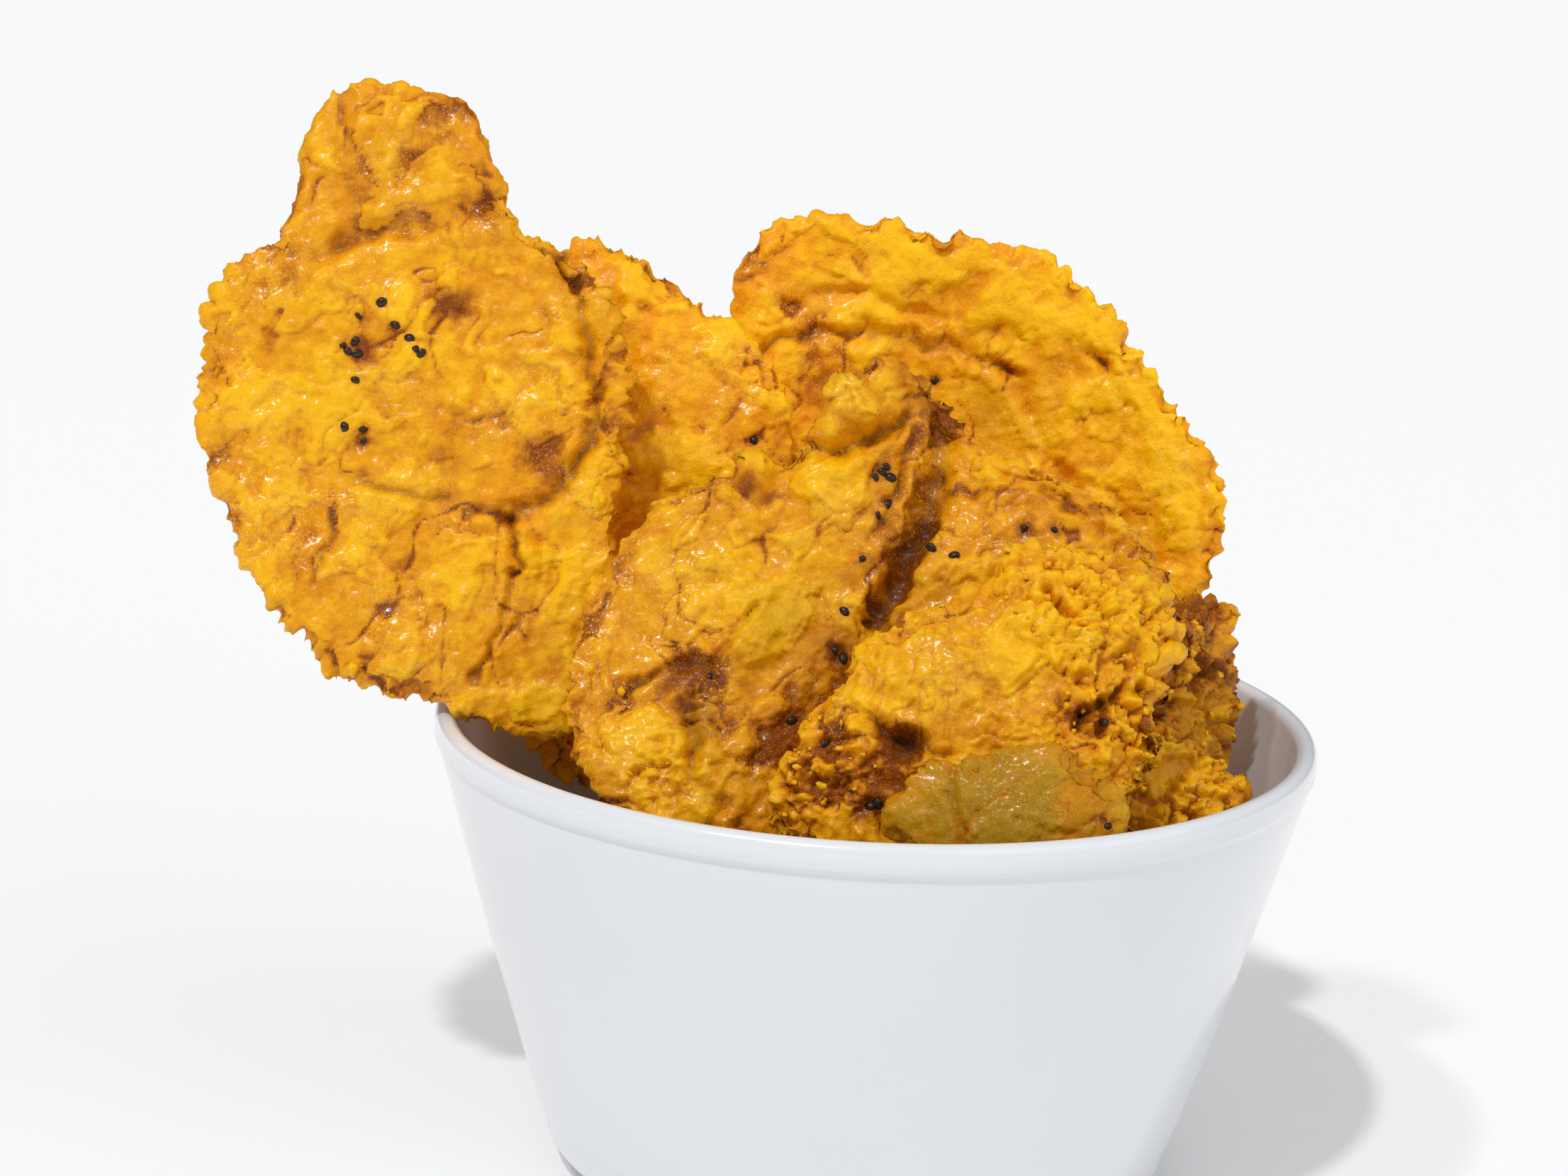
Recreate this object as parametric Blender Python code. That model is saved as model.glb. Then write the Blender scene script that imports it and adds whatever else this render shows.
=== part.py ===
# Tostones: twice-fried discs of plantain, heaped on edge in a small white bowl.
#
# World frame: metres, +Z up, +X to the right of the heap's open side, which faces -Y.
# The origin is the centre of the bowl's flat underside.
import math

import bmesh
import bpy
from mathutils import Vector

MM = 0.001

# Bowl
RIM_RADIUS = 60.0 * MM
BOWL_HEIGHT = 64.0 * MM
WALL = 2.6 * MM
SHOULDER_RADIUS = 59.1 * MM      # outside of the wall, right under the lip
LIP_DEPTH = 4.2 * MM
HEEL_RADIUS = 43.4 * MM          # outside of the wall, above its rounded heel
HEEL_ROUND = 3.2 * MM
FOOT_RADIUS = 39.6 * MM
FOOT_HEIGHT = 2.3 * MM
FLOOR = 4.6 * MM                 # height of the floor inside
WALL_FLARE = 0.92                # below 1 the wall opens fastest near the heel
WALL_RINGS = 5
BOWL_STEPS = 48

# Tostones
EDGE_ROUND = 0.62                # how fast the two faces close on the edge
FINE = (48, 12)                  # steps round the edge and from face to face
LARGE = (36, 12)
MEDIUM = (24, 10)
SMALL = (20, 8)


def clearScene():
    for item in list(bpy.data.objects):
        bpy.data.objects.remove(item, do_unlink=True)


def material(name, color, roughness, coat=0.0):
    made = bpy.data.materials.new(name)
    made.use_nodes = True
    shader = made.node_tree.nodes["Principled BSDF"]
    shader.inputs["Base Color"].default_value = (*color, 1.0)
    shader.inputs["Roughness"].default_value = roughness
    shader.inputs["Coat Weight"].default_value = coat
    return made


def finished(name, shape, surface):
    mesh = bpy.data.meshes.new(name)
    shape.to_mesh(mesh)
    shape.free()
    mesh.shade_smooth()
    mesh.set_sharp_from_angle(angle=math.radians(50))
    mesh.materials.append(surface)
    item = bpy.data.objects.new(name, mesh)
    bpy.context.scene.collection.objects.link(item)
    return item


# ---------------------------------------------------------------- bowl

def bowlProfile():
    """Half section of the bowl, from the middle of the underside round to the floor."""
    shoulder = BOWL_HEIGHT - LIP_DEPTH - 1.6 * MM
    heel = FOOT_HEIGHT + HEEL_ROUND
    points = [(0.0, 0.0), (FOOT_RADIUS - 0.6 * MM, 0.0), (FOOT_RADIUS, 0.6 * MM),
              (FOOT_RADIUS, FOOT_HEIGHT)]
    for step in range(1, 3):
        turn = math.radians(35 * step)
        points.append((HEEL_RADIUS - HEEL_ROUND * (1 - math.sin(turn)),
                       heel - HEEL_ROUND * math.cos(turn)))
    for ring in range(WALL_RINGS + 1):
        part = ring / WALL_RINGS
        points.append((HEEL_RADIUS + (SHOULDER_RADIUS - HEEL_RADIUS) * part ** WALL_FLARE,
                       heel + (shoulder - heel) * part))
    points.append((SHOULDER_RADIUS + 0.2 * MM, BOWL_HEIGHT - LIP_DEPTH))
    lip = 1.4 * MM                  # radius of the lip's rounded top
    middle = RIM_RADIUS - lip
    points.append((RIM_RADIUS, BOWL_HEIGHT - LIP_DEPTH + 0.7 * MM))
    for step in range(5):
        turn = math.radians(45 * step)
        points.append((middle + lip * math.cos(turn), BOWL_HEIGHT - lip + lip * math.sin(turn)))
    inner = [(HEEL_RADIUS + (SHOULDER_RADIUS - HEEL_RADIUS) * part ** WALL_FLARE - WALL,
              heel + (shoulder - heel) * part)
             for part in (1.0, 0.75, 0.5, 0.25, 0.06)]
    points += inner
    corner = inner[-1][0]
    points += [(corner - 1.6 * MM, FLOOR + 0.5 * MM), (corner - 4.5 * MM, FLOOR), (0.0, FLOOR)]
    return points


def bowl(surface):
    shape = bmesh.new()
    line = [shape.verts.new((radius, 0.0, height)) for radius, height in bowlProfile()]
    edges = [shape.edges.new(pair) for pair in zip(line, line[1:])]
    bmesh.ops.spin(shape, geom=line + edges, axis=(0, 0, 1), cent=(0, 0, 0),
                   angle=math.tau, steps=BOWL_STEPS, use_merge=True)
    bmesh.ops.remove_doubles(shape, verts=shape.verts, dist=0.01 * MM)
    bmesh.ops.recalc_face_normals(shape, faces=shape.faces)
    return finished("bowl", shape, surface)


# ------------------------------------------------------------ tostones

def reach(radii, angle):
    """Distance from the middle to the edge at an angle, on a smooth closed outline."""
    place = (angle % math.tau) / math.tau * len(radii)
    start = int(place) % len(radii)
    part = place - int(place)
    before, here, after, beyond = (radii[(start + step) % len(radii)] for step in (-1, 0, 1, 2))
    slopeHere = (after - before) / 2
    slopeAfter = (beyond - here) / 2
    return ((2 * part ** 3 - 3 * part ** 2 + 1) * here
            + (part ** 3 - 2 * part ** 2 + part) * slopeHere
            + (-2 * part ** 3 + 3 * part ** 2) * after
            + (part ** 3 - part ** 2) * slopeAfter)


def lobeReach(angle, direction, distance, radius):
    """Distance to the far side of a round lobe, or 0 where the angle misses it."""
    away = (angle - math.radians(direction) + math.pi) % math.tau - math.pi
    inside = radius ** 2 - (distance * math.sin(away)) ** 2
    if inside < 0 or abs(away) > math.pi / 2:
        return 0.0
    return distance * math.cos(away) + math.sqrt(inside)


def rise(u, v, spread, dish, curls, folds):
    """Height of the disc's middle sheet: a dish, edges that curl, and creases."""
    height = dish * (spread * spread - 0.4)
    angle = math.atan2(v, u)
    for direction, width, amount in curls:
        away = (angle - math.radians(direction) + math.pi) % math.tau - math.pi
        height += amount * spread ** 3 * math.exp(-(away / math.radians(width)) ** 2)
    for direction, offset, width, amount in folds:
        across = Vector((math.cos(math.radians(direction)), math.sin(math.radians(direction))))
        distance = u * across.x + v * across.y - offset
        height += amount * math.exp(-(distance / width) ** 2)
    return height


def disc(name, surface, spec):
    """One pressed disc, standing on edge: its own X runs right, Y up and Z to the viewer."""
    steps, rings = spec.get("grid", MEDIUM)
    radii = [value * MM for value in spec["radii"]]
    thickness = spec.get("thickness", 9.0) * MM
    dish = spec.get("dish", 0.0) * MM
    curls = [(direction, width, amount * MM) for direction, width, amount in spec.get("curls", ())]
    folds = [(direction, offset * MM, width * MM, amount * MM)
             for direction, offset, width, amount in spec.get("folds", ())]
    lobe = spec.get("lobe")
    if lobe:
        lobe = (lobe[0], lobe[1] * MM, lobe[2] * MM)
    shape = bmesh.new()
    bmesh.ops.create_uvsphere(shape, u_segments=steps, v_segments=rings, radius=1.0)
    for point in shape.verts:
        spread = min(1.0, math.hypot(point.co.x, point.co.y))
        angle = math.atan2(point.co.y, point.co.x)
        edge = reach(radii, angle)
        if lobe:
            edge = max(edge, lobeReach(angle, *lobe))
        u = edge * spread * math.cos(angle)
        v = edge * spread * math.sin(angle)
        side = math.copysign(abs(point.co.z) ** EDGE_ROUND, point.co.z)
        height = rise(u, v, spread, dish, curls, folds) + side * thickness / 2
        point.co = (u, v, height)
    item = finished(name, shape, surface)
    item.location = [value * MM for value in spec["place"]]
    item.rotation_euler = (math.radians(90 - spec["lean"]), 0.0, math.radians(spec.get("turn", 0)))


# Sizes and places in millimetres and degrees. Radii run anticlockwise from the disc's right.
# A curl is (direction, width, rise), a fold (direction, offset, width, rise) and a lobe
# (direction, distance of its middle, radius).
DISCS = {
    "tostone_left": dict(
        place=(-65.5, -0.5, 97.1), lean=16, grid=FINE, thickness=9, dish=3,
        radii=(30.5, 32.5, 34, 36, 35.5, 34.5, 33, 33, 34, 35.5, 32, 29.5,
               28, 26.5, 26, 27, 28.5, 31.5, 34, 36, 46, 42, 36, 32),
        lobe=(95, 37, 15), curls=((94, 24, -3.5), (200, 45, 2.0))),
    "tostone_mid_left": dict(
        place=(-28, 14, 98), lean=15, thickness=8, dish=-2,
        radii=(16, 16, 16, 16, 17, 18.5, 21, 25, 36, 30, 24, 21,
               20, 19, 20, 23, 30, 40, 47, 40, 29, 21, 17, 16)),
    "tostone_rear": dict(
        place=(13, 28, 92), lean=12, grid=LARGE, thickness=9, dish=6,
        radii=(35.5, 31.5, 30, 29, 32, 32.5, 34, 37.5, 42.5, 48.5, 44, 37,
               34, 34, 35, 38, 41, 43, 43.5, 42, 40, 38, 38, 37)),
    "tostone_middle": dict(
        place=(-1, -15.5, 82), lean=28, grid=LARGE, thickness=9, dish=3,
        radii=(43, 40, 34.5, 31, 27, 33, 35, 30, 24, 27.5, 32, 35.5,
               38, 41.5, 46, 43.5, 39, 36, 33, 32, 31, 32, 34, 39),
        curls=((96, 14, 4.0),), folds=((-18, 2.2, 5, -3.5),)),
    "tostone_front_right": dict(
        place=(14, -31.5, 74), lean=25, grid=LARGE, thickness=10, dish=-2,
        radii=(23, 24.5, 28, 28.5, 26, 23, 18.5, 16, 16, 17, 19, 20,
               22, 26, 33, 30, 26, 24, 24, 24, 24, 24, 24, 24)),
    "tostone_front_flap": dict(
        place=(17, -46, 63), lean=14, grid=SMALL, thickness=6, dish=-1.5,
        radii=(16, 16, 14, 10.5, 10.5, 13.5, 17, 13, 11, 10, 11, 12)),
    "tostone_right_edge": dict(
        place=(42, 3, 63), lean=3, turn=64, thickness=9,
        radii=(17, 18, 19, 18, 17, 18, 18, 17, 16, 16, 16, 16)),
    "tostone_right_low": dict(
        place=(38, -22, 58), lean=24, turn=20, grid=SMALL, thickness=7,
        radii=(11, 12, 13, 13, 12, 12, 12, 11, 10, 9, 9, 10)),
    "tostone_centre": dict(
        place=(10, 1, 69), lean=16, turn=-8, grid=SMALL, thickness=9, dish=2,
        radii=(22, 22, 23, 24, 25, 26, 26, 23, 22, 20, 21, 22)),
    "tostone_rear_low": dict(
        place=(-1, 42, 62), lean=8, grid=SMALL, thickness=9, dish=2,
        radii=(22, 23, 22, 24, 26, 24, 22, 22, 23, 25, 24, 22)),
    "tostone_rear_left": dict(
        place=(-38, 25, 64), lean=6, turn=52, grid=SMALL, thickness=9, dish=2,
        radii=(19, 22, 25, 26, 25, 23, 22, 21, 22, 24, 24, 21)),
    "tostone_rear_right": dict(
        place=(30.5, 32.5, 45.5), lean=14, turn=-38, grid=SMALL, thickness=8,
        radii=(17, 18, 17, 17, 18, 19, 18, 17, 16, 17, 18, 18)),
    "tostone_bottom_top": dict(
        place=(0, -7, 39), lean=77, grid=SMALL, thickness=9,
        radii=(37, 38, 35, 34, 36, 38, 38, 36, 34, 36, 38, 36)),
    "tostone_bottom_middle": dict(
        place=(3, 2, 26), lean=86, turn=30, grid=SMALL, thickness=9, dish=1,
        radii=(38, 37, 35, 36, 38, 37, 36, 38, 37, 35, 36, 38)),
    "tostone_bottom": dict(
        place=(0, 0, 13), lean=88, grid=SMALL, thickness=10,
        radii=(34, 32, 31, 33, 34, 32, 34, 35, 32, 33, 34, 35)),
}


def build():
    clearScene()
    glaze = material("white_bowl", (0.80, 0.82, 0.84), 0.22, 0.4)
    crust = material("fried_plantain", (0.80, 0.38, 0.02), 0.45)
    bowl(glaze)
    for name, spec in DISCS.items():
        disc(name, crust, spec)


build()
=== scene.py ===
import math
from itertools import product

import bmesh
import bpy
import numpy as np
from mathutils import Matrix, Vector
from mathutils.bvhtree import BVHTree


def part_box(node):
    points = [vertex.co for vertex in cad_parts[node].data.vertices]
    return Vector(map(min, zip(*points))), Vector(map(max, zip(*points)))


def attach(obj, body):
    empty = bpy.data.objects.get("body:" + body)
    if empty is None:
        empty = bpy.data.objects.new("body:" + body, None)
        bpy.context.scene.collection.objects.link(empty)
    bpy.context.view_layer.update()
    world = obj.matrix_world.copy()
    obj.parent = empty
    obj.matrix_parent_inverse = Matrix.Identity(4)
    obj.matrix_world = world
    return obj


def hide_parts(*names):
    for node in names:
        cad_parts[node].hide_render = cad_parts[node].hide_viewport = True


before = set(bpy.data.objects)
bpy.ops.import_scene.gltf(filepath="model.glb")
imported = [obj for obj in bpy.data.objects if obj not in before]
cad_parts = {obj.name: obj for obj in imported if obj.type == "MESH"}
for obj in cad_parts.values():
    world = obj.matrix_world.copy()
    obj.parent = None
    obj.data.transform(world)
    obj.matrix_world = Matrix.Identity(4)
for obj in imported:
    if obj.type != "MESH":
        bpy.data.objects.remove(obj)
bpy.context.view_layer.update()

mm = 0.001
random = np.random.RandomState(7)

# noise over arrays of points, in millimetres, on a lattice of directions in a fixed order
latticeSpins = np.random.RandomState(11).normal(size=(256, 3))
latticeSpins /= np.linalg.norm(latticeSpins, axis=1)[:, None]
latticeOrder = np.random.RandomState(12).permutation(256)


def latticeIndex(cell, seed):
    index = latticeOrder[(cell[:, 0] + seed * 31) & 255]
    index = latticeOrder[(index + cell[:, 1]) & 255]
    return latticeOrder[(index + cell[:, 2]) & 255]


def gradientNoise(points, size, seed):
    place = points / size + seed * 3.7
    cell = np.floor(place).astype(np.int64)
    part = place - cell
    blend = part * part * part * (part * (part * 6 - 15) + 10)
    total = np.zeros(len(points))
    for corner in product((0, 1), repeat=3):
        spin = latticeSpins[latticeIndex(cell + corner, seed)]
        weight = np.ones(len(points))
        for axis in range(3):
            weight *= blend[:, axis] if corner[axis] else 1 - blend[:, axis]
        total += weight * ((part - corner) * spin).sum(axis=1)
    return total * 1.6


def fractal(points, size, seed, octaves=3, fade=0.5):
    total = np.zeros(len(points))
    for octave in range(octaves):
        total += gradientNoise(points, size / 2 ** octave, seed + octave) * fade ** octave
    return total


# distances to the nearest and second nearest of scattered points, in cells
def cellNoise(points, size, seed):
    place = points / size
    cell = np.floor(place).astype(np.int64)
    near = np.full(len(points), 9.0)
    second = np.full(len(points), 9.0)
    for step in product((-1, 0, 1), repeat=3):
        other = cell + step
        jitter = latticeSpins[latticeIndex(other, seed)] * 0.4 + 0.5
        away = np.linalg.norm(other + jitter - place, axis=1)
        second = np.minimum(second, np.maximum(near, away))
        near = np.minimum(near, away)
    return near, second


def smooth(low, high, value):
    part = np.clip((value - low) / (high - low), 0, 1)
    return part * part * (3 - 2 * part)


# distance in the disc's plane from each point to a line of joined stretches
def lineDistance(flat, line):
    best = np.full(len(flat), 1e9)
    for start, end in zip(line, line[1:]):
        start, end = np.array(start, float), np.array(end, float)
        run = end - start
        part = np.clip(((flat - start) @ run) / (run @ run), 0, 1)
        best = np.minimum(best, np.linalg.norm(flat - start - part[:, None] * run, axis=1))
    return best


black = (0, 0, 0)
white = (1, 1, 1)


def newMaterial(name):
    made = bpy.data.materials.new(name)
    made.use_nodes = True
    return made, made.node_tree, made.node_tree.nodes["Principled BSDF"]


def objectPlace(tree):
    return tree.nodes.new("ShaderNodeTexCoord").outputs["Object"]


# links an output to a socket, or sets the socket to a colour or a number
def feed(tree, socket, value):
    if hasattr(value, "is_output"):
        tree.links.new(value, socket)
    else:
        socket.default_value = (*value, 1) if isinstance(value, tuple) else value


def ramp(tree, value, stops):
    node = tree.nodes.new("ShaderNodeValToRGB")
    band = node.color_ramp
    while len(band.elements) < len(stops):
        band.elements.new(0.5)
    for element, (place, color) in zip(band.elements, stops):
        element.position = place
        element.color = (*color, 1)
    tree.links.new(value, node.inputs[0])
    return node.outputs[0]


def noiseNode(tree, coordinates, scale, detail=4.0, roughness=0.55):
    node = tree.nodes.new("ShaderNodeTexNoise")
    node.inputs["Scale"].default_value = scale
    node.inputs["Detail"].default_value = detail
    node.inputs["Roughness"].default_value = roughness
    tree.links.new(coordinates, node.inputs["Vector"])
    return node


def mixColor(tree, factor, first, second):
    node = tree.nodes.new("ShaderNodeMix")
    node.data_type = "RGBA"
    for index, value in ((0, factor), (6, first), (7, second)):
        feed(tree, node.inputs[index], value)
    return node.outputs[2]


def mathNode(tree, operation, values, clamp=False):
    node = tree.nodes.new("ShaderNodeMath")
    node.operation = operation
    node.use_clamp = clamp
    for socket, value in zip(node.inputs, values):
        feed(tree, socket, value)
    return node.outputs[0]


def times(tree, *values, clamp=False):
    return mathNode(tree, "MULTIPLY", values, clamp)


def plus(tree, *values):
    return mathNode(tree, "ADD", values)


def timesPlus(tree, *values):
    return mathNode(tree, "MULTIPLY_ADD", values)


# three masks kept in one colour attribute of the mesh
def attributeMasks(tree, name):
    stored = tree.nodes.new("ShaderNodeAttribute")
    stored.attribute_name = name
    split = tree.nodes.new("ShaderNodeSeparateColor")
    tree.links.new(stored.outputs["Color"], split.inputs[0])
    return split.outputs


def addBump(tree, shader, height, look):
    bump = tree.nodes.new("ShaderNodeBump")
    bump.inputs["Strength"].default_value = look["bump"]
    bump.inputs["Distance"].default_value = look["bumpDepth"]
    tree.links.new(height, bump.inputs["Height"])
    tree.links.new(bump.outputs[0], shader.inputs["Normal"])


def setScatter(shader, look):
    shader.inputs["Subsurface Weight"].default_value = look["scatter"]
    shader.inputs["Subsurface Radius"].default_value = look["scatterColor"]
    shader.inputs["Subsurface Scale"].default_value = look["scatterDepth"]


# grain shared by the materials: one noise gives a roughness and a height
def buildGrain():
    group = bpy.data.node_groups.new("surface grain", "ShaderNodeTree")
    for label, kind in (("Vector", "NodeSocketVector"), ("Scale", "NodeSocketFloat"),
                        ("Smoothest", "NodeSocketFloat"), ("Roughest", "NodeSocketFloat")):
        group.interface.new_socket(label, in_out="INPUT", socket_type=kind)
    for label in ("Roughness", "Height"):
        group.interface.new_socket(label, in_out="OUTPUT", socket_type="NodeSocketFloat")
    given = group.nodes.new("NodeGroupInput").outputs
    result = group.nodes.new("NodeGroupOutput").inputs
    noise = noiseNode(group, given["Vector"], 1.0, 5.0, 0.6)
    level = group.nodes.new("ShaderNodeMapRange")
    level.inputs["From Min"].default_value = 0.34       # the noise seldom leaves this range
    level.inputs["From Max"].default_value = 0.70
    for output, socket in ((given["Scale"], noise.inputs["Scale"]),
                           (noise.outputs[0], level.inputs["Value"]),
                           (given["Smoothest"], level.inputs["To Min"]),
                           (given["Roughest"], level.inputs["To Max"]),
                           (level.outputs[0], result["Roughness"]),
                           (noise.outputs[0], result["Height"])):
        group.links.new(output, socket)
    return group


surfaceGrain = buildGrain()


def addGrain(tree, coordinates, scale, roughness):
    node = tree.nodes.new("ShaderNodeGroup")
    node.node_tree = surfaceGrain
    node.inputs["Scale"].default_value = scale
    node.inputs["Smoothest"].default_value, node.inputs["Roughest"].default_value = roughness
    tree.links.new(coordinates, node.inputs["Vector"])
    return node.outputs["Roughness"], node.outputs["Height"]


# colours, noise scales per metre, and finish; depths are metres
plantainLook = dict(
    flesh=(0.88, 0.38, 0.0), bright=(1.0, 0.52, 0.001), deep=(0.74, 0.255, 0.0),
    rust=(0.58, 0.165, 0.0), crust=(0.76, 0.265, 0.0), brown=(0.27, 0.055, 0.001),
    # pale is the colour of painted glints
    dark=(0.06, 0.014, 0.003), paleAndPaintedHighlight=(1.0, 0.72, 0.10), olive=(0.37, 0.20, 0.002),
    broad=95.0, middling=420.0, fine=1500.0, grit=3600.0,
    roughness=(0.30, 0.58), wetSmoothing=0.16, specular=0.16, coatRoughness=0.20,
    scatter=0.18, scatterColor=(1.0, 0.42, 0.05), scatterDepth=0.0022, bump=0.7, bumpDepth=0.0005)


def plantainMaterial(look):
    made, tree, shader = newMaterial("fried plantain")
    where = objectPlace(tree)
    toastAndPaintedShade, burntAndPaintedShade, freshAndPaintedLight = attributeMasks(tree, "cookAndPaintedLight")
    olive, wet, toneAndPaintedLight = attributeMasks(tree, "tintAndPaintedLight")
    broad = noiseNode(tree, where, look["broad"], 3.0).outputs[0]
    uneven, middling = addGrain(tree, where, look["middling"], look["roughness"])
    fine = noiseNode(tree, where, look["fine"], 4.0, 0.65).outputs[0]
    grit = noiseNode(tree, where, look["grit"], 2.0, 0.6).outputs[0]

    # mottled flesh with bright and olive patches and painted light on proud tops, then browned, with
    # painted shade in hollows, gaps and cracks: golden first, brown where strong
    mottled = plus(tree, times(tree, broad, 0.3), times(tree, middling, 0.7))
    color = ramp(tree, mottled, [(0.38, look["deep"]), (0.49, look["flesh"]), (0.60, look["bright"])])
    color = mixColor(tree, freshAndPaintedLight, color, look["bright"])
    color = mixColor(tree, olive, color, look["olive"])
    ragged = timesPlus(tree, fine, 0.7, 0.65)
    browned = times(tree, toastAndPaintedShade, ragged, clamp=True)
    color = mixColor(tree, times(tree, browned, 1.3, clamp=True), color, look["crust"])
    color = mixColor(tree, ramp(tree, browned, [(0.52, black), (1.0, white)]), color, look["brown"])

    # painted glints in a light colour, most where it is wet, rusty pores, charred spots that are also
    # painted shade at crease bottoms and in holes, and the disc's brightness, partly its own and partly
    # painted light and shade for how well it is lit
    glintSpeck = ramp(tree, grit, [(0.58, black), (0.66, white)])
    sparkle = times(tree, glintSpeck, timesPlus(tree, wet, 0.5, 0.15), clamp=True)
    color = mixColor(tree, sparkle, color, look["paleAndPaintedHighlight"])
    pore = ramp(tree, fine, [(0.30, white), (0.42, black)])
    color = mixColor(tree, times(tree, pore, 0.4), color, look["rust"])
    color = mixColor(tree, times(tree, burntAndPaintedShade, ragged, clamp=True), color, look["dark"])
    # brightness scaled by the tone mask: painted light and shade per disc, with random own tone
    shade = tree.nodes.new("ShaderNodeVectorMath")
    shade.operation = "SCALE"
    tree.links.new(color, shade.inputs[0])
    tree.links.new(timesPlus(tree, toneAndPaintedLight, 0.5, 0.75), shade.inputs["Scale"])
    tree.links.new(shade.outputs[0], shader.inputs["Base Color"])

    # wet places are smoother, under a broken film of oil
    smoothed = times(tree, wet, look["wetSmoothing"])
    tree.links.new(mathNode(tree, "SUBTRACT", (uneven, smoothed), clamp=True), shader.inputs["Roughness"])
    glint = ramp(tree, fine, [(0.42, (0.10,) * 3), (0.60, (0.85,) * 3)])
    tree.links.new(times(tree, plus(tree, wet, 0.1), glint, clamp=True), shader.inputs["Coat Weight"])
    shader.inputs["Coat Roughness"].default_value = look["coatRoughness"]
    shader.inputs["Specular IOR Level"].default_value = look["specular"]
    setScatter(shader, look)
    relief = plus(tree, times(tree, middling, 0.6), times(tree, fine, 0.5))
    addBump(tree, shader, plus(tree, relief, times(tree, grit, 0.22)), look)
    return made


bowlLook = dict(
    shades=((0.745, 0.765, 0.79), (0.775, 0.79, 0.81)), broad=30.0, fine=900.0,
    roughness=(0.17, 0.25), coat=0.5, coatRoughness=0.08,
    scatter=0.06, scatterColor=(1.0, 0.9, 0.8), scatterDepth=0.002, bump=0.05, bumpDepth=0.0004)


def bowlMaterial(look):
    made, tree, shader = newMaterial("white melamine")
    where = objectPlace(tree)
    soft = noiseNode(tree, where, look["broad"], 2.0).outputs[0]
    roughness = addGrain(tree, where, look["fine"], look["roughness"])[0]
    shade = ramp(tree, soft, list(zip((0.3, 0.7), look["shades"])))
    tree.links.new(shade, shader.inputs["Base Color"])
    tree.links.new(roughness, shader.inputs["Roughness"])
    shader.inputs["Coat Weight"].default_value = look["coat"]
    shader.inputs["Coat Roughness"].default_value = look["coatRoughness"]
    setScatter(shader, look)
    addBump(tree, shader, soft, look)
    return made


seedLook = dict(shades=((0.008, 0.005, 0.004), (0.06, 0.025, 0.010)), fine=2200.0, roughness=(0.3, 0.5))


def seedMaterial(look):
    made, tree, shader = newMaterial("plantain seeds")
    roughness, height = addGrain(tree, objectPlace(tree), look["fine"], look["roughness"])
    shade = ramp(tree, height, list(zip((0.35, 0.75), look["shades"])))
    tree.links.new(shade, shader.inputs["Base Color"])
    tree.links.new(roughness, shader.inputs["Roughness"])
    return made


# millimetres; flare below 1 gives the wall a slight belly
bowlSizes = dict(rim=60.0, height=64.0, wall=2.6, shoulder=59.1, lipDepth=4.2, heel=43.4,
                 heelRound=3.2, foot=39.6, footHeight=2.3, floor=4.6, flare=0.92, lip=1.4,
                 steps=160, rings=24)


# half section in millimetres, from the middle of the underside round to the floor
def bowlSection(sizes):
    shoulder = sizes["height"] - sizes["lipDepth"] - 1.6
    heel = sizes["footHeight"] + sizes["heelRound"]

    def wallRadius(part):
        return sizes["heel"] + (sizes["shoulder"] - sizes["heel"]) * part ** sizes["flare"]

    points = [(0.0, 0.0), (sizes["foot"] - 8, 0.0), (sizes["foot"] - 0.7, 0.0),
              (sizes["foot"] - 0.2, 0.2), (sizes["foot"], 0.7),
              (sizes["foot"], sizes["footHeight"] - 0.3), (sizes["foot"] + 0.3, sizes["footHeight"])]
    for step in range(2, 9):
        turn = math.radians(90 * step / 9)
        points.append((sizes["heel"] - sizes["heelRound"] * (1 - math.sin(turn)),
                       heel - sizes["heelRound"] * math.cos(turn)))
    for ring in range(sizes["rings"] + 1):
        part = ring / sizes["rings"]
        points.append((wallRadius(part), heel + (shoulder - heel) * part))
    top = sizes["height"]
    points += [(sizes["shoulder"] + 0.08, shoulder + 1.0), (sizes["shoulder"] + 0.2, shoulder + 1.5),
               (sizes["rim"] - 0.25, shoulder + 1.9), (sizes["rim"], shoulder + 2.5)]
    for step in range(13):
        turn = math.radians(15 * step)
        points.append((sizes["rim"] - sizes["lip"] * (1 - math.cos(turn)),
                       top - sizes["lip"] + sizes["lip"] * math.sin(turn)))
    for ring in range(sizes["rings"], 1, -1):
        part = ring / sizes["rings"]
        points.append((wallRadius(part) - sizes["wall"], heel + (shoulder - heel) * part))
    corner = points[-1][0]
    points += [(corner - 1.2, sizes["floor"] + 1.2), (corner - 2.8, sizes["floor"] + 0.35),
               (corner - 5.0, sizes["floor"]), (corner - 20, sizes["floor"]), (0.0, sizes["floor"])]
    return points


def buildBowl(sizes, surface):
    shape = bmesh.new()
    line = [shape.verts.new((radius * mm, 0, height * mm)) for radius, height in bowlSection(sizes)]
    edges = [shape.edges.new(pair) for pair in zip(line, line[1:])]
    bmesh.ops.spin(shape, geom=line + edges, axis=(0, 0, 1), cent=(0, 0, 0), angle=math.tau,
                   steps=sizes["steps"], use_merge=True)
    bmesh.ops.remove_doubles(shape, verts=shape.verts, dist=0.005 * mm)
    bmesh.ops.recalc_face_normals(shape, faces=shape.faces)
    mesh = bpy.data.meshes.new("bowl shell")
    shape.to_mesh(mesh)
    shape.free()
    mesh.shade_smooth()
    mesh.set_sharp_from_angle(angle=math.radians(40))
    mesh.materials.append(surface)
    made = bpy.data.objects.new("bowl_shell", mesh)
    bpy.context.scene.collection.objects.link(made)
    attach(made, "root")
    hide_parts("bowl")
    return made
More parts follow.
